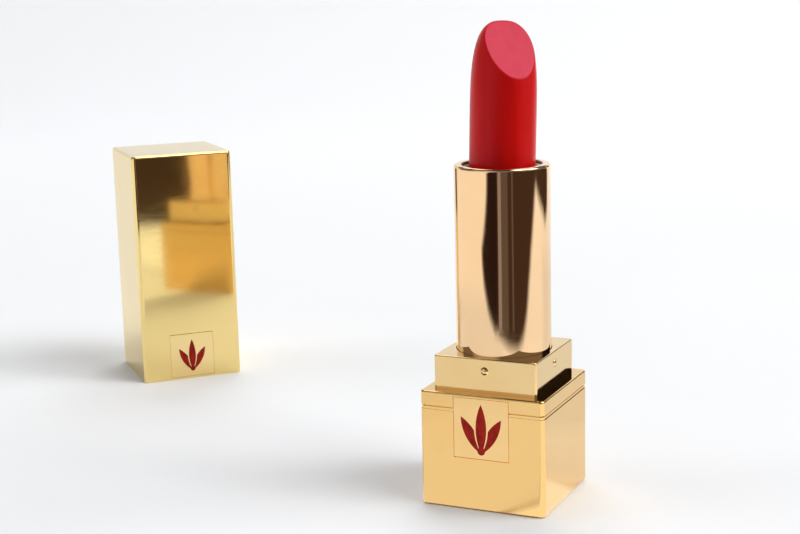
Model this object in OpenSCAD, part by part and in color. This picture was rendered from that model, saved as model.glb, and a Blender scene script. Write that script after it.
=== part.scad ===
// Lipstick case: a square base with a square neck, a round twist-up tube, a wax bullet and a square cap.
// Everything is drawn raised and uncapped. The cap stands on its open end beside the base.
// Millimetres. The origin is the centre of the base's underside, +Z is up, and -Y is the plaque side.

/* [Case] */
// Width of the square base and of the square cap
case_w = 24.1; // [23.8:0.1:25]
// Height of the base, from its underside to the ledge that the cap closes on
base_h = 21.8; // [21.5:0.1:24]
// Radius of the case's upright edges
case_edge_r = 1; // [0.95:0.05:1.1]
// Radius of the edge round the base's underside
foot_edge_r = 0.7; // [0.4:0.05:0.9]
// Radius of the ledge's and the band's outer edge
ledge_edge_r = 0.35; // [0.2:0.05:0.45]
// Height of the band above the seam
band_h = 2.65; // [2.4:0.05:3]
// Width of the fine seam between the band and the base shell
seam_w = 0.25; // [0.15:0.05:0.3]
// Depth of the seam
seam_depth = 0.4; // [0.3:0.05:0.45]
// Height of the base shell's set-back rim, below the seam
rim_h = 0.5; // [0.4:0.05:0.7]
// How far that rim is set back from the shell's face
rim_step = 0.12; // [0.08:0.01:0.2]
// Wall thickness of the base shell
base_wall = 1.1; // [1:0.05:1.2]
// Floor thickness of the base shell
base_floor = 1.4; // [1.2:0.1:1.6]

/* [Neck] */
// Width of the square neck that the cap slides over
neck_w = 19.9; // [19.8:0.1:20]
// Height of the neck above the ledge
neck_h = 6.35; // [6:0.05:7]
// Radius of the neck's upright edges
neck_edge_r = 0.5; // [0.4:0.05:0.6]
// How far each detent nib stands out of the neck
nib_h = 0.35; // [0.2:0.05:0.4]
// Radius of a detent nib where it leaves the neck
nib_r = 0.75; // [0.6:0.05:0.8]
// Depth of the nibs' centres below the top of the neck
nib_drop = 2.25; // [2:0.05:2.6]

/* [Twist mechanism] */
// Outer diameter of the metal tube that is turned
tube_d = 17.6; // [17.55:0.05:17.7]
// Height of the tube's rim above the neck
tube_h = 34.3; // [33.5:0.1:35]
// Wall thickness of the metal tube
tube_wall = 0.58; // [0.55:0.01:0.6]
// Opening of the tube's rolled rim
rim_bore_d = 14.6; // [14.5:0.05:14.7]
// Height that the cup climbs in one full turn
lead = 20.8; // [20:0.1:21]
// Height that the cup travels, from hidden to fully raised
travel = 26.4; // [25.5:0.1:26.8]
// Diameter of the cup's two drive lugs
lug_d = 2; // [1.9:0.05:2]
// Width of the upright slots in the inner tube
slot_w = 2.2; // [2.15:0.05:2.3]
// Angle that a helical slot takes up in the spiral sleeve
helix_slot_deg = 43.4; // [43:0.1:46]

/* [Bullet] */
// Diameter of the wax bullet
bullet_d = 12.1; // [12:0.05:12.15]
// Height of the bullet's tip above the tube's rim
bullet_h = 25.6; // [25:0.05:25.9]
// Height of the domed stretch at the bullet's end
dome_h = 17.2; // [14:0.1:18]
// Tilt of the slanted face, measured from upright
face_tilt = 34.7; // [30:0.1:45]
// Direction that the slanted face looks in, turned from the plaque side
face_turn = 49.6; // [0:0.1:90]
// Depth of the slanted face below the tip, on the bullet's axis
face_drop = 1.45; // [1:0.05:3]
// Lean of the wax above the cup
wax_lean = 1.7; // [0:0.1:1.8]
// Direction of the lean, turned from +X
lean_turn = 27; // [0:1:90]

/* [Cap] */
// Height of the cap
cap_h = 55.2; // [55:0.1:60]
// Wall thickness of the cap's metal shell
cap_wall = 0.9; // [0.85:0.05:0.95]
// Clear width of the cap's mouth
mouth_w = 20.15; // [20.1:0.05:20.2]
// Clear depth of the cap
cap_depth = 48.6; // [46:0.1:48.8]
// Where the cap stands beside the base, along X
cap_x = -109.6; // [-140:0.1:-60]
// Where the cap stands beside the base, along Y
cap_y = 57.5; // [30:0.1:80]
// How far the cap is turned about its upright axis
cap_turn = 46.4; // [0:0.1:90]

/* [Ornament] */
// Width of the plaques on the base and the cap
plaque_w = 10.6; // [10:0.1:12]
// Height of the plaque on the base
plaque_h = 11.2; // [10.5:0.05:11.5]
// Height of the plaque on the cap
cap_plaque_h = 10.5; // [10:0.1:12]
// Height of the enamelled bud on the base
bud_h = 9.3; // [8:0.1:9.8]
// Height of the enamelled bud on the cap
cap_bud_h = 7.7; // [7:0.1:9]
// Angle between the middle petal and a side petal
petal_fan = 30; // [26:1:32]

/* [Hidden] */
$fn = 96;

gold = "#e0b566";
rose_gold = "#e9b98c";
wax_red = "#c4161c";
enamel_red = "#9e1b1e";
steel = "#8d9095";
white_plastic = "#e9e7e1";
black_plastic = "#26262a";

// Fits and small clearances
fit_gap = 0.05;       // slip fit of parts that are glued or pressed in
running_gap = 0.1;    // radial clearance of parts that turn or slide
bore_gap = 0.125;     // radial clearance of the metal tube in the neck
ring_gap = 0.02;      // clearance above and below the brake ring
tiny = 0.01;
over = 1;             // how far a cutter runs past the solid that it cuts
bond = 0.2;           // how far joined shapes of one piece overlap

// Small edge radii
break_r = 0.1;        // edges inside the case
neck_top_r = 0.25;
mouth_edge_r = 0.15;
cap_top_r = 0.6;

// Heights of the base's pieces
cavity_w = case_w - 2 * base_wall;
plug_w = cavity_w - 2 * fit_gap;
cavity_r = 0.4;
seam_top = base_h - band_h;
seam_z = seam_top - seam_w;
rim_z = seam_z - rim_h;
neck_top = base_h + neck_h;
skirt_z = 15.2;
neck_foot_z = 13.7;
weight_z = base_floor + fit_gap;
weight_top = 5;
seat_z = weight_top + fit_gap;
bore_d = tube_d + 2 * bore_gap;

// Label recess in the underside
label_d = 16;
label_recess = 0.15;
label_t = 0.1;

// Heights and diameters of the mechanism
tube_top = neck_top + tube_h;
tube_foot_z = 12.2;
lip_h = 0.6;
sleeve_d = tube_d - 2 * tube_wall;
sleeve_bore_d = 14.75;
sleeve_foot_z = 11;
inner_d = sleeve_bore_d - 2 * running_gap;
inner_bore_d = 13.6;
inner_foot_z = seat_z + 0.35;
flange_d = 17.2;
flange_z = 9.2;
flange_top = sleeve_foot_z - 0.2;
bead_r = inner_d / 2 + 0.4;
bead_z = 14;
bead_h = 1;
key_w = 1.6;
key_depth = 0.7;
cup_d = inner_bore_d - 2 * running_gap;
cup_top = tube_top - 2.45;
cup_h = 12;
cup_z = cup_top - cup_h;
cup_floor = 1.2;
mouth_relief = 0.5;   // depth of the slightly wider stretch at the cup's mouth
lug_z = cup_z + 1.5;
lug_reach = sleeve_d / 2 - 0.2;
slot_spare = 0.15;
slot_z = lug_z - travel - lug_d / 2 - slot_spare;
slot_top = lug_z + lug_d / 2 + slot_spare;
helix_step_deg = 9;
ring_h = 1;
ring_z = neck_foot_z + 0.2;
ring_d = bore_d + 1;

// Bullet
bullet_r = bullet_d / 2;
tip_z = tube_top + bullet_h;
dome_z = tip_z - dome_h;
lean_z = cup_top - mouth_relief;
dome_power = 3.14;
dome_root = 0.32;

// Cap, drawn on its own upright axis with its open end at height 0
liner_w = case_w - 2 * cap_wall - 2 * fit_gap;
liner_lift = 0.5;
liner_roof = 1.2;
cap_top_t = 1.2;
cap_weight_z = cap_depth + liner_roof + fit_gap;
dimple_r = 1;

// Plaques and enamel
plaque_t = 0.35;
plaque_gap = 0.08;
plaque_foot_gap = 0.15;
plaque_recess = plaque_t + 0.02;
plaque_top = base_h - 0.65;
plaque_z = plaque_top - plaque_h;
cap_plaque_z = 0.6;
bud_z = plaque_z + (plaque_h - bud_h) / 2;
cap_bud_z = cap_plaque_z + (cap_plaque_h - cap_bud_h) / 2;
enamel_t = 0.12;
enamel_proud = 0.03;
plaque_y = -case_w / 2;

// A square with rounded corners
module rounded_square(w, r) {
    square([w, w - 2 * r], center = true);
    square([w - 2 * r, w], center = true);
    for (x = [-1, 1], y = [-1, 1])
        translate([x * (w / 2 - r), y * (w / 2 - r)])
            circle(r);
}

// An upright square bar with rounded upright edges
module bar(w, r, z0, z1) {
    translate([0, 0, z0])
        linear_extrude(z1 - z0)
            rounded_square(w, r);
}

// The upright section of a block whose lower and upper edges are rounded
module block_section(w, h, foot_r, top_r) {
    translate([-w / 2, foot_r])
        square([w, h - foot_r - top_r]);
    translate([-w / 2 + foot_r, 0])
        square([w - 2 * foot_r, h / 2]);
    translate([-w / 2 + top_r, h / 2])
        square([w - 2 * top_r, h / 2]);
    for (x = [-1, 1]) {
        translate([x * (w / 2 - foot_r), foot_r])
            circle(foot_r);
        translate([x * (w / 2 - top_r), h - top_r])
            circle(top_r);
    }
}

// A square block with all its outer edges rounded
module soft_block(w, h, edge_r, foot_r, top_r) {
    for (a = [0, 90])
        rotate([90, 0, a])
            linear_extrude(w - 2 * edge_r, center = true)
                block_section(w, h, foot_r, top_r);
    for (x = [-1, 1], y = [-1, 1])
        translate([x * (w / 2 - edge_r), y * (w / 2 - edge_r), 0])
            rotate_extrude()
                intersection() {
                    block_section(2 * edge_r, h, foot_r, top_r);
                    translate([0, -over])
                        square([edge_r + over, h + 2 * over]);
                }
}

module tube(od, id, z0, z1) {
    translate([0, 0, z0])
        difference() {
            cylinder(h = z1 - z0, d = od);
            translate([0, 0, -over])
                cylinder(h = z1 - z0 + 2 * over, d = id);
        }
}

module rod(d, z0, z1) {
    translate([0, 0, z0])
        cylinder(h = z1 - z0, d = d);
}

// A pocket in the front face, w wide and t deep, from height z0 to z1
module front_pocket(w, t, z0, z1) {
    translate([-w / 2, plaque_y - over, z0])
        cube([w, t + over, z1 - z0]);
}

// A flower bud of three petals, h high from the origin, on a round foot that reaches just below it
module bud(h) {
    petal_w = 0.22 * h;
    petal_gap = 0.035 * h;
    side_h = 0.84 * h;
    foot_r = 0.08 * h;
    foot_rise = 0.055 * h;
    petal(petal_w, h);
    for (side = [-1, 1])
        difference() {
            rotate(side * petal_fan)
                petal(petal_w, side_h);
            petal(petal_w + 2 * petal_gap, h);
        }
    translate([0, foot_rise])
        circle(foot_r);
}

// An upright petal, w wide and h high, standing on the origin
module petal(w, h) {
    side_r = (h * h + w * w) / (4 * w);
    intersection() {
        translate([side_r - w / 2, h / 2])
            circle(side_r);
        translate([w / 2 - side_r, h / 2])
            circle(side_r);
    }
}

// The enamel bud in the front face, from the depth back to the height front, standing at height z
module enamel_solid(h, z, back, front) {
    translate([0, plaque_y + back, z])
        rotate([90, 0, 0])
            linear_extrude(back + front)
                bud(h);
}

// The four detent nibs, or the four dimples that take them
module nib_set(face, height, r, h) {
    ball_r = (r * r + h * h) / (2 * h);
    for (a = [0 : 90 : 270])
        rotate([0, 0, a])
            translate([face + h - ball_r, 0, height])
                sphere(ball_r);
}

module base_shell() {
    color(gold)
        difference() {
            union() {
                intersection() {
                    soft_block(case_w, base_h, case_edge_r, foot_edge_r, ledge_edge_r);
                    rod(case_w * 2, -over, rim_z);
                }
                bar(case_w - 2 * rim_step, case_edge_r - rim_step, rim_z - over, seam_z);
            }
            bar(cavity_w, cavity_r, base_floor, base_h);
            rod(label_d + 2 * running_gap, -over, label_recess);
            front_pocket(plaque_w + 2 * plaque_gap, plaque_recess, plaque_z - plaque_foot_gap, base_h);
        }
}

module base_weight() {
    color(steel)
        bar(plug_w - 2 * fit_gap, cavity_r, weight_z, weight_top);
}

module base_band() {
    color(gold)
        difference() {
            union() {
                translate([0, 0, seam_top])
                    soft_block(case_w, band_h, case_edge_r, break_r, ledge_edge_r);
                bar(case_w - 2 * seam_depth, case_edge_r - seam_depth, seam_z, seam_top + bond);
                bar(plug_w, cavity_r, skirt_z, seam_top);
            }
            bar(neck_w + 2 * fit_gap, neck_edge_r, skirt_z - over, base_h + over);
            front_pocket(plaque_w + 2 * plaque_gap, plaque_recess, seam_z - over, plaque_top + plaque_gap);
        }
}

module neck() {
    color(gold)
        difference() {
            union() {
                translate([0, 0, neck_foot_z])
                    soft_block(neck_w, neck_top - neck_foot_z, neck_edge_r, break_r, neck_top_r);
                bar(plug_w, cavity_r, neck_foot_z, skirt_z - tiny);
                nib_set(neck_w / 2, neck_top - nib_drop, nib_r, nib_h);
            }
            rod(bore_d, neck_foot_z - over, neck_top + over);
            rod(ring_d + 2 * fit_gap, ring_z, ring_z + ring_h + 2 * ring_gap);
        }
}

module mechanism_seat() {
    color(white_plastic)
        difference() {
            bar(plug_w, cavity_r, seat_z, neck_foot_z - tiny);
            rod(inner_d, seat_z - over, neck_foot_z + over);
            rod(bore_d, flange_z, neck_foot_z + over);
            key_pair(key_w + 2 * fit_gap, key_depth + fit_gap, inner_foot_z - over, flange_z + tiny);
        }
}

// Two keys that stop the inner tube's foot from turning
module key_pair(w, depth, z0, z1) {
    translate([-w / 2, -inner_d / 2 - depth, z0])
        cube([w, inner_d + 2 * depth, z1 - z0]);
}

module brake_ring() {
    color(black_plastic)
        tube(ring_d, tube_d + 2 * fit_gap, ring_z + ring_gap, ring_z + ring_h + ring_gap);
}

module inner_tube() {
    color(white_plastic)
        difference() {
            union() {
                rod(inner_d, inner_foot_z, tube_top - lip_h);
                rod(flange_d, flange_z, flange_top);
                snap_bead(bead_r, bead_z, bead_h);
                key_pair(key_w, key_depth, inner_foot_z, flange_z);
            }
            rod(inner_bore_d, inner_foot_z - over, tube_top);
            for (a = [0, 180])
                rotate([0, 0, a])
                    translate([inner_bore_d / 2 - over, -slot_w / 2, slot_z])
                        cube([2 * over, slot_w, slot_top - slot_z]);
        }
}

// A round bead with sloping flanks
module snap_bead(r, z, h) {
    rotate_extrude()
        polygon([[inner_bore_d / 2, z - h / 2], [inner_d / 2, z - h / 2], [r, z - h / 6],
                 [r, z + h / 6], [inner_d / 2, z + h / 2], [inner_bore_d / 2, z + h / 2]]);
}

module base_plaque() {
    color(gold)
        difference() {
            translate([-plaque_w / 2, plaque_y, plaque_z])
                cube([plaque_w, plaque_t, plaque_h]);
            enamel_solid(bud_h, bud_z, enamel_t, over);
        }
}

module base_enamel() {
    color(enamel_red)
        enamel_solid(bud_h, bud_z, enamel_t, enamel_proud);
}

module shade_label() {
    color(white_plastic)
        rod(label_d, label_recess - label_t, label_recess);
}

// The turned metal tube, with a rolled rim
module outer_tube() {
    lip_r = 0.5;
    color(rose_gold)
        rotate_extrude() {
            translate([sleeve_d / 2, tube_foot_z])
                square([tube_wall, tube_top - lip_r - tube_foot_z]);
            translate([rim_bore_d / 2 + lip_h / 2, tube_top - lip_h])
                square([tube_d / 2 - lip_r - rim_bore_d / 2 - lip_h / 2, lip_h]);
            translate([rim_bore_d / 2 + lip_h / 2, tube_top - lip_h / 2])
                circle(lip_h / 2);
            intersection() {
                translate([tube_d / 2 - lip_r, tube_top - lip_r])
                    circle(lip_r);
                translate([sleeve_d / 2 - lip_r, tube_top - lip_h])
                    square([tube_wall + lip_r, lip_h]);
            }
        }
}

module spiral_sleeve() {
    color(black_plastic)
        difference() {
            tube(sleeve_d, sleeve_bore_d, sleeve_foot_z, tube_top - lip_h);
            helical_slots();
            snap_groove(bead_r + running_gap, bead_z, bead_h + 3 * running_gap);
        }
}

module snap_groove(r, z, h) {
    rotate_extrude()
        polygon([[sleeve_bore_d / 2 - over, z - h / 2], [sleeve_bore_d / 2, z - h / 2], [r, z - h / 5],
                 [r, z + h / 5], [sleeve_bore_d / 2, z + h / 2], [sleeve_bore_d / 2 - over, z + h / 2]]);
}

// Two helical slots, half a turn apart, that meet the lugs at the lugs' raised height
module helical_slots() {
    height = slot_top - slot_z;
    turn = 360 * height / lead;
    start = -360 * (lug_z - slot_z) / lead;
    reach = 9.2;
    root = 6.6;
    half = helix_slot_deg / 2;
    for (a = [0, 180])
        rotate([0, 0, a + start])
            translate([0, 0, slot_z])
                linear_extrude(height, twist = -turn, slices = ceil(turn / helix_step_deg), $fn = 4)
                    polygon([for (c = [[root, -half], [reach, -half], [reach, half], [root, half]])
                             c[0] * [cos(c[1]), sin(c[1])]]);
}

module bullet_cup() {
    color(white_plastic) {
        difference() {
            rod(cup_d, cup_z, cup_top);
            rod(bullet_d, cup_z + cup_floor, cup_top + over);
            rod(bullet_d + 2 * fit_gap, cup_top - mouth_relief, cup_top + over);
        }
        for (a = [0, 180])
            rotate([0, 0, a])
                translate([cup_d / 2 - 2 * bond, 0, lug_z])
                    rotate([0, 90, 0])
                        cylinder(h = lug_reach - cup_d / 2 + 2 * bond, d = lug_d);
    }
}

// Radius of the bullet at height z
function bullet_radius(z) =
    z <= dome_z ? bullet_r : bullet_r * pow(max(0, 1 - pow((z - dome_z) / dome_h, dome_power)), dome_root);

module bullet() {
    steps = 20;
    waist = 0.3;    // the wax is slightly thinner where it bends, inside the cup's mouth
    dome = [for (i = [0 : steps]) let (z = tip_z - dome_h * pow(1 - i / steps, 2)) [bullet_radius(z), z]];
    color(wax_red)
        union() {
            rod(bullet_d, cup_z + cup_floor, lean_z);
            leaned()
                difference() {
                    rotate_extrude()
                        polygon(concat([[0, lean_z - waist], [bullet_r - 2 * waist, lean_z - waist],
                                        [bullet_r, lean_z + waist]], dome));
                    slanted_cutter();
                }
        }
}

// Leans its children away from upright, about the bullet's axis at the cup's mouth
module leaned() {
    rotate([0, 0, lean_turn])
        translate([0, 0, lean_z])
            rotate([0, wax_lean, 0])
                translate([0, 0, -lean_z])
                    rotate([0, 0, -lean_turn])
                        children();
}

module slanted_cutter() {
    translate([0, 0, tip_z - face_drop])
        rotate([0, 0, face_turn])
            rotate([90 - face_tilt, 0, 0])
                translate([-case_w, -case_w, 0])
                    cube([2 * case_w, 2 * case_w, case_w]);
}

// Puts a piece of the cap where the cap stands
module at_cap() {
    translate([cap_x, cap_y, 0])
        rotate([0, 0, cap_turn])
            children();
}

module cap_shell() {
    color(gold)
        at_cap()
            difference() {
                soft_block(case_w, cap_h, case_edge_r, mouth_edge_r, cap_top_r);
                bar(case_w - 2 * cap_wall, cavity_r, -over, cap_h - cap_top_t);
                front_pocket(plaque_w + 2 * plaque_gap, plaque_recess,
                             cap_plaque_z - plaque_gap, cap_plaque_z + cap_plaque_h + plaque_foot_gap);
            }
}

module cap_liner() {
    color(black_plastic)
        at_cap()
            difference() {
                bar(liner_w, cavity_r, liner_lift, cap_depth + liner_roof);
                bar(mouth_w, neck_edge_r, -over, cap_depth);
                nib_set(mouth_w / 2, neck_h - nib_drop, dimple_r, nib_h + running_gap);
            }
}

module cap_weight() {
    color(steel)
        at_cap()
            bar(liner_w - 2 * fit_gap, cavity_r, cap_weight_z, cap_h - cap_top_t - fit_gap);
}

module cap_plaque() {
    color(gold)
        at_cap()
            difference() {
                translate([-plaque_w / 2, plaque_y, cap_plaque_z])
                    cube([plaque_w, plaque_t, cap_plaque_h]);
                enamel_solid(cap_bud_h, cap_bud_z, enamel_t, over);
            }
}

module cap_enamel() {
    color(enamel_red)
        at_cap()
            enamel_solid(cap_bud_h, cap_bud_z, enamel_t, enamel_proud);
}

base_shell();
base_weight();
base_band();
neck();
mechanism_seat();
brake_ring();
inner_tube();
base_plaque();
base_enamel();
shade_label();
outer_tube();
spiral_sleeve();
bullet_cup();
bullet();
cap_shell();
cap_liner();
cap_weight();
cap_plaque();
cap_enamel();
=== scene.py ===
"""Looks of the lipstick case: materials, detailed pieces, stage, lights and camera round the CAD frame."""

import math

import bmesh
import bpy
import numpy as np
from mathutils import Matrix, Vector


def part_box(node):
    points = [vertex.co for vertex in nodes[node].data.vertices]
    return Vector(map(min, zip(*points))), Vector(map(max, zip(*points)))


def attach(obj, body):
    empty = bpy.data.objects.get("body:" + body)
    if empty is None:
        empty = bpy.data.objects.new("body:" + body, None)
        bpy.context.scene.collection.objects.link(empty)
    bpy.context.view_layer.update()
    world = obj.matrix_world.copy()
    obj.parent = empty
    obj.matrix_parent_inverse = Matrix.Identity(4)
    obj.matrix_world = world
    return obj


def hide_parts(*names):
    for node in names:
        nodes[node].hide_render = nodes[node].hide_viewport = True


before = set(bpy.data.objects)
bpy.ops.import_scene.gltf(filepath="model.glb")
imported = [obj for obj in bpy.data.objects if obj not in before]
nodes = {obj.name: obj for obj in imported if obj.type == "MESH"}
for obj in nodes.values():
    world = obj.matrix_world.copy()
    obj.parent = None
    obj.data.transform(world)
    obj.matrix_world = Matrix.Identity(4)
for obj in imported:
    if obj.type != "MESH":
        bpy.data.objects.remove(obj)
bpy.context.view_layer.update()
scene = bpy.context.scene
MM = 0.001


# ---------------------------------------------------------------- camera
CAM_AZIMUTH, CAM_ELEVATION, CAM_ROLL = 25.243, 11.233, -1.493
CAM_PLACE = Vector((101.173, -259.055, 98.808)) * MM
CAM_LENS = 69.21
SENSOR_WIDTH = 36
CLIP_NEAR, CLIP_FAR = 0.01, 20


def make_camera():
    """The camera stands to the right of the plaque side and looks slightly down."""
    az, el, roll = (math.radians(a) for a in (CAM_AZIMUTH, CAM_ELEVATION, CAM_ROLL))
    ahead = Vector((-math.sin(az) * math.cos(el), math.cos(az) * math.cos(el), -math.sin(el)))
    right = Vector((math.cos(az), math.sin(az), 0))
    up = right.cross(ahead)
    x_axis = math.cos(roll) * right + math.sin(roll) * up
    y_axis = -math.sin(roll) * right + math.cos(roll) * up
    data = bpy.data.cameras.new("camera")
    data.sensor_width = SENSOR_WIDTH
    data.sensor_fit = "HORIZONTAL"
    data.lens = CAM_LENS
    data.clip_start = CLIP_NEAR
    data.clip_end = CLIP_FAR
    camera = bpy.data.objects.new("camera", data)
    scene.collection.objects.link(camera)
    turn = Matrix((x_axis, y_axis, -ahead)).transposed()
    camera.matrix_world = Matrix.Translation(CAM_PLACE) @ turn.to_4x4()
    scene.camera = camera


make_camera()
scene.view_settings.view_transform = "Standard"


# ---------------------------------------------------------------- node helpers
class Shader:
    """A material's node tree, with short calls for what the materials below need."""

    def __init__(self, name):
        self.material = bpy.data.materials.new(name)
        self.material.use_nodes = True
        self.tree = self.material.node_tree
        self.bsdf = self.tree.nodes["Principled BSDF"]
        self.place = self.add("ShaderNodeTexCoord").outputs["Object"]

    def add(self, kind, **props):
        node = self.tree.nodes.new(kind)
        for key, value in props.items():
            setattr(node, key, value)
        return node

    def link(self, source, target):
        self.tree.links.new(source, target)

    def set(self, **values):
        for key, value in values.items():
            self.bsdf.inputs[key.replace("_", " ")].default_value = value

    def stretched(self, x, y, z):
        """The object's coordinates, stretched along each axis."""
        mapping = self.add("ShaderNodeMapping")
        mapping.inputs["Scale"].default_value = (x, y, z)
        self.link(self.place, mapping.inputs["Vector"])
        return mapping.outputs["Vector"]

    def noise(self, scale, detail=3.0, roughness=0.55, vector=None):
        node = self.add("ShaderNodeTexNoise")
        node.inputs["Scale"].default_value = scale
        node.inputs["Detail"].default_value = detail
        node.inputs["Roughness"].default_value = roughness
        self.link(self.place if vector is None else vector, node.inputs["Vector"])
        return node.outputs["Fac"]

    def ramp(self, fac, *stops):
        """A colour ramp; each stop is (position, colour)."""
        node = self.add("ShaderNodeValToRGB")
        elements = node.color_ramp.elements
        while len(elements) < len(stops):
            elements.new(0.5)
        for element, (position, colour) in zip(elements, stops):
            element.position = position
            element.color = (*colour, 1)
        self.link(fac, node.inputs["Fac"])
        return node.outputs["Color"]

    def span(self, fac, low, high, start=0.3, end=0.7):
        """Maps fac from start..end to low..high."""
        node = self.add("ShaderNodeMapRange")
        for key, value in (("From Min", start), ("From Max", end), ("To Min", low), ("To Max", high)):
            node.inputs[key].default_value = value
        self.link(fac, node.inputs["Value"])
        return node.outputs["Result"]

    def bump(self, height, strength, distance, below=None):
        node = self.add("ShaderNodeBump")
        node.inputs["Strength"].default_value = strength
        node.inputs["Distance"].default_value = distance
        self.link(height, node.inputs["Height"])
        if below is not None:
            self.link(below, node.inputs["Normal"])
        return node.outputs["Normal"]

    def feed(self, **sources):
        for key, source in sources.items():
            self.link(source, self.bsdf.inputs[key.replace("_", " ")])


def mixed(a, b, t):
    return tuple(x + (y - x) * t for x, y in zip(a, b))


# ---------------------------------------------------------------- materials
def polished_metal(name, colour, tint, rough, wave):
    """Anodised, polished metal: slightly uneven sheen, hairline scratches and a faint waviness."""
    s = Shader(name)
    s.set(Metallic=1.0)
    cloud = s.noise(55, 4)
    deeper, warmer = mixed(colour, tint, 0.25), mixed(colour, tint, 0.12)
    s.feed(Base_Color=s.ramp(cloud, (0.32, deeper), (0.5, colour), (0.7, warmer)))
    hairs = s.noise(260, 2, 0.7, s.stretched(1, 1, 14))
    s.feed(Roughness=s.span(hairs, rough, rough * 1.9))
    slow = s.bump(s.noise(95, 1, 0.3), wave, 0.00002)
    s.feed(Normal=s.bump(hairs, 0.05, 0.000004, slow))
    return s.material


GOLD = (0.89, 0.585, 0.235)
GOLD_TINT = (0.80, 0.45, 0.13)
CAP_GOLD = (0.90, 0.695, 0.295)
CAP_TINT = (0.82, 0.55, 0.17)
NECK_GOLD = (0.88, 0.635, 0.305)
NECK_TINT = (0.80, 0.50, 0.19)
PLAQUE_TONE = (1, 0.8, 0.5)
PLAQUE_SHARE = 0.15
ROSE = (0.95, 0.655, 0.375)
ROSE_TINT = (0.88, 0.52, 0.26)
# the next two colours: a dark brown copy of the rose gold for the inward face of the rolled lip, a painted shade
BORE_SHADE = (0.30, 0.13, 0.06)
BORE_SHADE_TINT = (0.16, 0.06, 0.03)


def dress(node, material):
    slots = nodes[node].data.materials
    slots.clear()
    slots.append(material)


gold = polished_metal("gold_anodised", GOLD, GOLD_TINT, 0.05, 0.25)
plaque_gold = polished_metal("gold_plaque", mixed(GOLD, PLAQUE_TONE, PLAQUE_SHARE), GOLD_TINT, 0.09, 0.15)
cap_gold = polished_metal("gold_cap", CAP_GOLD, CAP_TINT, 0.05, 0.25)
cap_plaque_tone = mixed(CAP_GOLD, PLAQUE_TONE, PLAQUE_SHARE)
cap_plaque_gold = polished_metal("gold_cap_plaque", cap_plaque_tone, CAP_TINT, 0.09, 0.15)
neck_gold = polished_metal("gold_neck", NECK_GOLD, NECK_TINT, 0.06, 0.2)
rose_gold = polished_metal("rose_gold_anodised", ROSE, ROSE_TINT, 0.035, 0.1)
# the dark brown rose gold for the lip's inward face is a painted shade
bore_shade_gold = polished_metal("rose_gold_bore_shade", BORE_SHADE, BORE_SHADE_TINT, 0.25, 0.1)


def moulded_plastic(name, dark, light, rough):
    """Moulded plastic: fine spark-eroded texture and slow shade changes."""
    s = Shader(name)
    s.feed(Base_Color=s.ramp(s.noise(120, 3), (0.35, dark), (0.65, light)))
    grain = s.noise(4200, 2, 0.6)
    s.feed(Roughness=s.span(grain, rough, rough + 0.15), Normal=s.bump(grain, 0.15, 0.00002))
    s.set(Specular_IOR_Level=0.5)
    return s.material


white_plastic = moulded_plastic("white_plastic", (0.74, 0.72, 0.67), (0.80, 0.785, 0.74), 0.38)
black_plastic = moulded_plastic("black_plastic", (0.010, 0.010, 0.012), (0.018, 0.018, 0.020), 0.42)
black_rubber = moulded_plastic("black_rubber", (0.012, 0.012, 0.012), (0.022, 0.021, 0.020), 0.75)


def plain_steel():
    s = Shader("steel")
    s.set(Metallic=1.0)
    hairs = s.noise(300, 3, 0.7, s.stretched(14, 1, 1))
    s.feed(Base_Color=s.ramp(hairs, (0.35, (0.44, 0.45, 0.47)), (0.65, (0.58, 0.59, 0.61))))
    s.feed(Roughness=s.span(hairs, 0.26, 0.42), Normal=s.bump(hairs, 0.2, 0.00001))
    return s.material


steel = plain_steel()


def gloss_enamel():
    """Thin see-through enamel over metal, a little deeper in colour where it is thick."""
    s = Shader("red_enamel")
    s.feed(Base_Color=s.ramp(s.noise(900, 3), (0.35, (0.22, 0.010, 0.007)), (0.65, (0.33, 0.018, 0.012))))
    ripple = s.noise(1400, 2)
    s.feed(Roughness=s.span(ripple, 0.12, 0.22), Normal=s.bump(ripple, 0.2, 0.00001))
    s.set(Metallic=0.92)
    return s.material


enamel = gloss_enamel()


FACE_TILT, FACE_TURN = math.radians(34.7), math.radians(49.6)
FACE_NORMAL = (math.sin(FACE_TURN) * math.cos(FACE_TILT), -math.cos(FACE_TURN) * math.cos(FACE_TILT),
               math.sin(FACE_TILT))


def satin_wax():
    """Lipstick wax: deep red, soft sheen, fine pores, faint streaks from the mould, and a slanted face painted
    paler and pinker as a painted sheen.
    """
    s = Shader("red_wax")
    streaks = s.noise(700, 3, 0.6, s.stretched(1, 1, 0.06))
    side = s.ramp(streaks, (0.3, (0.55, 0.0035, 0.0012)), (0.7, (0.64, 0.005, 0.002)))
    # painted sheen: the slanted face gets a paler, pinker colour than the sides, blended in where a point faces
    # FACE_NORMAL
    painted_face_sheen = s.ramp(s.noise(420, 4), (0.3, (0.69, 0.022, 0.043)), (0.7, (0.76, 0.028, 0.053)))
    facing = s.add("ShaderNodeVectorMath", operation="DOT_PRODUCT")
    facing.inputs[1].default_value = FACE_NORMAL
    s.link(s.tree.nodes["Texture Coordinate"].outputs["Normal"], facing.inputs[0])
    mix = s.add("ShaderNodeMix", data_type="RGBA")
    s.link(s.span(facing.outputs["Value"], 0, 1, 0.92, 0.985), mix.inputs["Factor"])
    s.link(side, mix.inputs["A"])
    s.link(painted_face_sheen, mix.inputs["B"])
    s.feed(Base_Color=mix.outputs["Result"])
    pores = s.noise(5200, 2, 0.65)
    s.feed(Roughness=s.span(pores, 0.27, 0.38))
    s.feed(Normal=s.bump(pores, 0.08, 0.00002, s.bump(streaks, 0.12, 0.00003)))
    s.set(Specular_IOR_Level=0.2, Specular_Tint=(1.0, 0.62, 0.9, 1))
    return s.material


wax = satin_wax()


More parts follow.
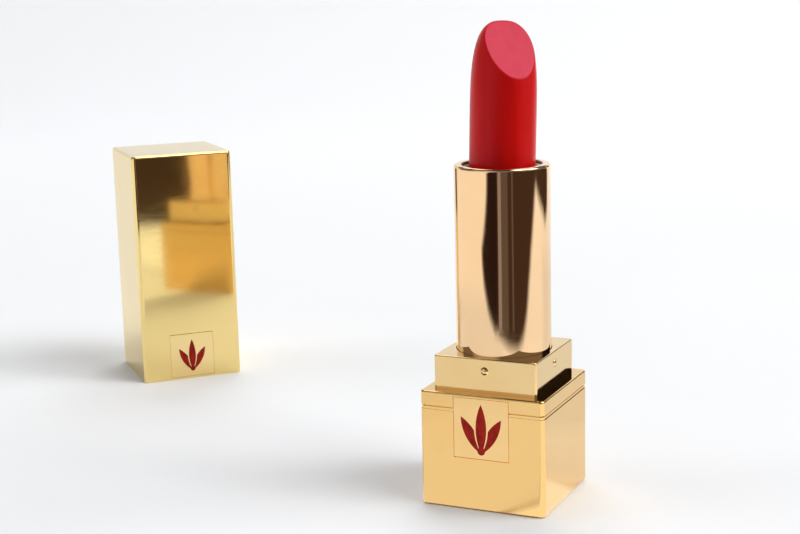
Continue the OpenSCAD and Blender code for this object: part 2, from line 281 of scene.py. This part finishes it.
def label_paper():
    s = Shader("label_paper")
    fibres = s.noise(2600, 5, 0.7)
    s.feed(Base_Color=s.ramp(fibres, (0.35, (0.80, 0.78, 0.73)), (0.65, (0.88, 0.865, 0.82))))
    s.feed(Roughness=s.span(fibres, 0.55, 0.8), Normal=s.bump(fibres, 0.25, 0.00002))
    return s.material


paper = label_paper()

for node in ("base_shell", "base_band"):
    dress(node, gold)
dress("cap_shell", cap_gold)
dress("neck", neck_gold)
dress("base_plaque", plaque_gold)
dress("cap_plaque", cap_plaque_gold)
for node in ("base_weight", "cap_weight"):
    dress(node, steel)
for node in ("mechanism_seat", "inner_tube", "bullet_cup"):
    dress(node, white_plastic)
for node in ("spiral_sleeve", "cap_liner"):
    dress(node, black_plastic)
dress("brake_ring", black_rubber)
dress("shade_label", paper)
dress("outer_tube", rose_gold)
dress("base_enamel", enamel)
dress("cap_enamel", enamel)
dress("bullet", wax)


# ---------------------------------------------------------------- mesh helpers
def new_piece(name, verts, faces, material, smooth=True):
    mesh = bpy.data.meshes.new(name)
    mesh.from_pydata([tuple(v) for v in verts], [], faces)
    mesh.materials.append(material)
    for polygon in mesh.polygons:
        polygon.use_smooth = smooth
    piece = bpy.data.objects.new(name, mesh)
    scene.collection.objects.link(piece)
    return piece


def ring_faces(rings, count, closed_loop=False):
    """Quads between rings of count points each."""
    faces = []
    last = rings if closed_loop else rings - 1
    for i in range(last):
        j = (i + 1) % rings
        for k in range(count):
            m = (k + 1) % count
            faces.append((i * count + k, i * count + m, j * count + m, j * count + k))
    return faces


def arc(centre, radius, start, end, steps):
    """Points (r, z) on an arc, from angle start to end in degrees."""
    return [(centre[0] + radius * math.cos(math.radians(a)), centre[1] + radius * math.sin(math.radians(a)))
            for a in np.linspace(start, end, steps)]


# ---------------------------------------------------------------- metal tube
def make_tube():
    """The rose-gold tube as one closed lathe, with its rolled rim and a fine crease behind the lip."""
    low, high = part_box("outer_tube")
    radius, foot, top = high.x, low.z, high.z
    wall, lip, bore = 0.58 * MM, 0.3 * MM, 7.3 * MM
    roll = 0.5 * MM
    crease, crease_w = 0.04 * MM, 0.06 * MM
    break_r = 0.05 * MM
    count = 192
    profile = [(radius - wall, foot + break_r)]
    profile += [(radius - wall + break_r, foot), (radius - break_r, foot)]
    profile += [(radius, foot + break_r)]
    profile += [(radius, z) for z in np.linspace(foot + 1 * MM, top - roll - 0.2 * MM, 24)]
    profile += arc((radius - roll, top - roll), roll, 0, 90, 12)
    mid = (radius - roll + bore + lip) / 2
    profile += [(mid + crease_w, top), (mid, top - crease), (mid - crease_w, top)]
    profile += arc((bore + lip, top - lip), lip, 90, 270, 14)
    profile += [(radius - wall - crease_w, top - 2 * lip), (radius - wall, top - 2 * lip - crease_w)]
    verts = [(r * math.cos(2 * math.pi * k / count), r * math.sin(2 * math.pi * k / count), z)
             for r, z in profile for k in range(count)]
    tube = new_piece("twist_tube", verts, ring_faces(len(profile), count, True), rose_gold)
    # painted shade: faces inside bore_edge, on the inward face of the lip, take the dark brown copy of the rose
    # gold
    tube.data.materials.append(bore_shade_gold)
    bore_edge = bore + lip * 0.6
    for polygon in tube.data.polygons:
        if math.hypot(polygon.center.x, polygon.center.y) < bore_edge:
            polygon.material_index = 1
    bm = bmesh.new()
    bm.from_mesh(tube.data)
    bmesh.ops.recalc_face_normals(bm, faces=bm.faces)
    bm.to_mesh(tube.data)
    bm.free()
    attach(tube, "tube")
    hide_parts("outer_tube")


make_tube()


# ---------------------------------------------------------------- wax bullet
def make_bullet():
    """The wax as one closed form: a straight rod, a dome and a slanted face with a softened rim."""
    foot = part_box("bullet")[0].z
    foot_break = 0.3 * MM
    radius = 6.05 * MM
    bend = 59.5 * MM
    tip = 88.05 * MM
    dome = 17.2 * MM
    power, root = 3.14, 0.32
    drop = 1.45 * MM
    lean, lean_turn = math.radians(1.7), math.radians(27)
    soft = 0.22 * MM
    hub = tip - 12.5 * MM
    face_normal = np.array(FACE_NORMAL)
    face_level = face_normal[2] * (tip - drop - hub)

    def profile_radius(z):
        t = np.clip((z - (tip - dome)) / dome, 0, 1)
        return radius * np.power(np.maximum(0, 1 - np.power(t, power)), root)

    def dome_reach(slope):
        """Distance from the hub to the dome, for rays that rise at the angle slope."""
        near, far = np.zeros_like(slope), np.full_like(slope, 20 * MM)
        for _ in range(50):
            mid = (near + far) / 2
            z = hub + mid * np.sin(slope)
            inside = (mid * np.cos(slope) < profile_radius(z)) & (z < tip)
            near, far = np.where(inside, mid, near), np.where(inside, far, mid)
        return near

    count = 224
    around = np.arange(count) * 2 * math.pi / count
    rings = []
    for z, r in ((foot, radius - foot_break), (foot + foot_break, radius)):
        rings.append(np.stack([r * np.cos(around), r * np.sin(around), np.full(count, z)], 1))
    rod, shoulder = np.linspace(foot + 1 * MM, tip - dome, 24), np.linspace(tip - dome, hub, 12)[1:-1]
    for z in np.concatenate([rod, shoulder]):
        r = profile_radius(z)
        rings.append(np.stack([r * np.cos(around), r * np.sin(around), np.full(count, z)], 1))
    for slope in np.linspace(0, math.pi / 2, 130)[:-1]:
        ray = np.stack([np.cos(slope) * np.cos(around), np.cos(slope) * np.sin(around),
                        np.full(count, math.sin(slope))], 1)
        reach = dome_reach(np.full(count, slope))
        rise = ray @ face_normal
        cut = np.where(rise > 1e-4, face_level / np.maximum(rise, 1e-4), 1)
        cut = np.minimum(cut, reach * 3)
        apart = np.clip(0.5 + 0.5 * (cut - reach) / soft, 0, 1)
        reach = cut * (1 - apart) + reach * apart - soft * apart * (1 - apart)
        rings.append(np.array([0, 0, hub]) + ray * reach[:, None])
    points = np.concatenate(rings)
    top_cut = min(face_level / face_normal[2], tip - hub)
    points = np.vstack([points, [0, 0, foot], [0, 0, hub + top_cut]])

    # the wax leans from the cup's mouth up
    blend = np.clip((points[:, 2] - (bend - 0.4 * MM)) / (0.8 * MM), 0, 1)
    axis = np.array([-math.sin(lean_turn), math.cos(lean_turn), 0])
    turned = np.array(Matrix.Rotation(lean, 3, Vector(axis)))
    pivot = np.array([0, 0, bend])
    leaned = (points - pivot) @ turned.T + pivot
    points = points + (leaned - points) * blend[:, None]

    faces = ring_faces(len(rings), count)
    foot_point, tip_point = len(points) - 2, len(points) - 1
    last = (len(rings) - 1) * count
    for k in range(count):
        m = (k + 1) % count
        faces.append((m, k, foot_point))
        faces.append((last + k, last + m, tip_point))
    bullet = new_piece("wax_bullet", points, faces, wax)
    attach(bullet, "lift")
    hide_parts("bullet")


make_bullet()


# ---------------------------------------------------------------- stage
def paper_white():
    material = bpy.data.materials.new("studio_paper")
    material.use_nodes = True
    bsdf = material.node_tree.nodes["Principled BSDF"]
    bsdf.inputs["Base Color"].default_value = (0.90, 0.905, 0.915, 1)
    bsdf.inputs["Roughness"].default_value = 0.8
    bsdf.inputs["Specular IOR Level"].default_value = 0.2
    return material


def make_sweep():
    """A pale paper sweep: a floor that curves up into a wall behind the case, as the camera looks."""
    az = math.radians(CAM_AZIMUTH)
    back = np.array([-math.sin(az), math.cos(az), 0])
    side = np.array([math.cos(az), math.sin(az), 0])
    reach, bend, height = 0.75, 0.35, 0.6
    path = [(-1.6, 0), (reach, 0)]
    path += [(reach + bend * math.sin(a), bend * (1 - math.cos(a))) for a in np.linspace(0.1, math.pi / 2, 14)]
    path += [(reach + bend, height)]
    verts = [back * y + side * x + np.array([0, 0, z]) for y, z in path for x in (-1.9, 1.9)]
    faces = [(2 * i, 2 * i + 1, 2 * i + 3, 2 * i + 2) for i in range(len(path) - 1)]
    sweep = new_piece("paper_sweep", verts, faces, paper_white())


def card_glow(name, colour):
    """Light of one colour, which fades out where the mesh attribute "fade" goes to 0."""
    material = bpy.data.materials.new(name)
    material.use_nodes = True
    tree = material.node_tree
    tree.nodes.remove(tree.nodes["Principled BSDF"])
    glow = tree.nodes.new("ShaderNodeEmission")
    glow.inputs["Color"].default_value = (*colour, 1)
    clear = tree.nodes.new("ShaderNodeBsdfTransparent")
    fade = tree.nodes.new("ShaderNodeAttribute")
    fade.attribute_name = "fade"
    mix = tree.nodes.new("ShaderNodeMixShader")
    tree.links.new(fade.outputs["Fac"], mix.inputs[0])
    tree.links.new(clear.outputs[0], mix.inputs[1])
    tree.links.new(glow.outputs[0], mix.inputs[2])
    tree.links.new(mix.outputs[0], tree.nodes["Material Output"].inputs["Surface"])
    return material


def as_card(card, fades, shades):
    """A card that the camera doesn't see. The metal reflects it, and a dark one shades the wax and the floor."""
    fade = card.data.attributes.new("fade", "FLOAT", "POINT")
    for item, value in zip(fade.data, fades):
        item.value = value
    card.visible_camera = False
    card.visible_shadow = False
    card.visible_diffuse = shades


def floor_card(name, outline, z, colour, feather=0.13):
    """A card just above the floor, which the metal shows as a painted reflection; its edge fades over a width of
    feather times the distance from the case.
    """
    points = np.array(outline, float)
    before, after = np.roll(points, 1, 0), np.roll(points, -1, 0)
    area = np.sum(points[:, 0] * after[:, 1] - points[:, 1] * after[:, 0]) / 2
    outward = np.zeros_like(points)
    for step in (points - before, after - points):
        normal = np.stack([step[:, 1], -step[:, 0]], 1) * np.sign(area)
        outward += normal / np.linalg.norm(normal, axis=1)[:, None]
    outward /= np.linalg.norm(outward, axis=1)[:, None]
    width = np.linalg.norm(points, axis=1)[:, None] * feather / 2
    rings = np.concatenate([points - outward * width, points + outward * width])
    verts = [Vector((x * MM, y * MM, z * MM)) for x, y in rings]
    count = len(points)
    faces = [tuple(range(count))]
    faces += [(k, (k + 1) % count, (k + 1) % count + count, k + count) for k in range(count)]
    card = new_piece(name, verts, faces, card_glow(name, colour), False)
    as_card(card, [1] * count + [0] * count, max(colour) < DARK_LIMIT)


def polar(radius, azimuth):
    """A floor point, azimuth degrees from the plaque side towards +X."""
    a = math.radians(azimuth)
    return radius * math.sin(a), -radius * math.cos(a)


def sector(near, far, start, end, steps=8):
    """The outline of a floor sector."""
    around = np.linspace(start, end, steps)
    return [polar(near, a) for a in around] + [polar(far, a) for a in around[::-1]]


def wall_card(name, azimuths, distance, low, high, colour):
    """A dark card that stands upright round the case at one distance: a painted dark reflection in the metal,
    which also darkens the wax and the floor.
    """
    row = [polar(distance, a) for a in azimuths]
    verts = [Vector((x * MM, y * MM, z * MM)) for z, line in ((low, row), (high, row[::-1])) for x, y in line]
    card = new_piece(name, verts, [tuple(range(len(verts)))], card_glow(name, colour), False)
    as_card(card, [1] * len(verts), True)


DARK_LIMIT = 0.5         # a card darker than this shades the wax and the floor
# Outlines of the dark area in front of the case, in mm on the floor: a card that paints a dark reflection in the
# metal and darkens the wax and the floor.
DARK_LEFT = [(-160, -1200), (-113, -446), (-101, -377), (-106, -315), (-125, -229), (-106, -206), (-84, -188),
             (-42, -166), (4, -145)]
DARK_RIGHT = [(29, -136), (50, -123), (83, -93), (99, -74), (122, -54), (155, -37), (202, -22), (258, 3),
              (312, 41), (360, 79), (383, 100), (390, 125), (330, 170), (250, 225), (196, 240), (160, 300),
              (185, 400), (420, 620), (1200, 620), (1200, -1200)]

make_sweep()
# Painted reflections: the pale cards glow as bright reflections in the metal, near_corner as the highlight on
# the near vertical edges; the dark cards and streaks are dark reflections, and they also darken the wax and the
# floor.
floor_card("bright_left", sector(190, 1300, -110, -12), 0.3, (1.02, 1.0, 0.975), 0.3)
floor_card("near_front", sector(8, 75, -75, 15), 0.3, (0.97, 0.97, 0.965), 0.3)
floor_card("near_corner", sector(10, 112, 22, 108), 0.35, (1.14, 1.15, 1.13), 0.4)
floor_card("back_right", sector(48, 240, 128, 185), 0.3, (0.86, 0.87, 0.88), 0.3)
floor_card("dark_floor", DARK_LEFT + DARK_RIGHT, 0.4, (0.058, 0.034, 0.023))
floor_card("dark_left", DARK_LEFT + [polar(150, 7), polar(1200, 7)], 0.6, (0.024, 0.0125, 0.011))
floor_card("streak_soft", sector(138, 1100, 12, 33), 0.8, (0.12, 0.095, 0.088), 0.07)
floor_card("streak_bright", sector(140, 1100, 10, 17.5), 1.0, (0.31, 0.27, 0.29), 0.05)
floor_card("streak_fine", sector(140, 1100, 42, 46), 1.0, (0.12, 0.10, 0.095), 0.03)
wall_card("dark_back", (168, 150, 138, 125), 400, 45, 175, (0.012, 0.009, 0.008))


# ---------------------------------------------------------------- light
COOL_WHITE = (0.975, 0.988, 1.0)
PALE_SIDE = (-0.408, -0.875, 0.259)
AIM_HEIGHT = 0.03


def make_world():
    """A dim room: grey round the horizon, darker overhead and paler towards the front left."""
    world = bpy.data.worlds.new("studio")
    world.use_nodes = True
    tree = world.node_tree
    link = tree.links.new
    background = tree.nodes["Background"]
    place = tree.nodes.new("ShaderNodeTexCoord").outputs["Generated"]
    split = tree.nodes.new("ShaderNodeSeparateXYZ")
    link(place, split.inputs[0])
    ramp = tree.nodes.new("ShaderNodeValToRGB")
    horizon, overhead = ramp.color_ramp.elements
    horizon.position, horizon.color = 0.5, (0.20, 0.19, 0.185, 1)
    overhead.position, overhead.color = 0.7, (0.06, 0.06, 0.062, 1)
    link(split.outputs["Z"], ramp.inputs["Fac"])
    facing = tree.nodes.new("ShaderNodeVectorMath")
    facing.operation = "DOT_PRODUCT"
    facing.inputs[1].default_value = PALE_SIDE
    link(place, facing.inputs[0])
    pale = tree.nodes.new("ShaderNodeMapRange")
    for key, value in (("From Min", 0.80), ("From Max", 0.96), ("To Min", 0), ("To Max", 0.45)):
        pale.inputs[key].default_value = value
    link(facing.outputs["Value"], pale.inputs["Value"])
    total = tree.nodes.new("ShaderNodeVectorMath")
    total.operation = "ADD"
    link(ramp.outputs["Color"], total.inputs[0])
    link(pale.outputs["Result"], total.inputs[1])
    link(total.outputs["Vector"], background.inputs["Color"])
    background.inputs["Strength"].default_value = 1.0
    scene.world = world


def soft_box(name, azimuth, elevation, distance, size, power, mirrored=True):
    """A rectangular light that looks at the case, azimuth degrees from the plaque side towards +X."""
    az, el = math.radians(azimuth), math.radians(elevation)
    data = bpy.data.lights.new(name, "AREA")
    data.shape = "RECTANGLE"
    data.size, data.size_y = size
    data.energy = power
    data.color = COOL_WHITE
    light = bpy.data.objects.new(name, data)
    scene.collection.objects.link(light)
    place = Vector((math.cos(el) * math.sin(az), -math.cos(el) * math.cos(az), math.sin(el))) * distance
    aim = place - Vector((0, 0, AIM_HEIGHT))
    light.matrix_world = Matrix.Translation(place) @ aim.to_track_quat("Z", "Y").to_matrix().to_4x4()
    light.visible_camera = False
    light.visible_glossy = mirrored


make_world()
soft_box("key_side", 108, 38, 1.95, (0.9, 0.9), 11.6)
soft_box("key_high", 85, 55, 1.95, (0.9, 0.9), 14.4)
soft_box("window_low", 115, 13, 1.6, (2.0, 0.7), 9.0, mirrored=False)
soft_box("back_high", 205, 55, 1.95, (1.35, 1.35), 14.4)
soft_box("left_fill", 290, 30, 1.95, (1.2, 1.2), 8.5, mirrored=False)
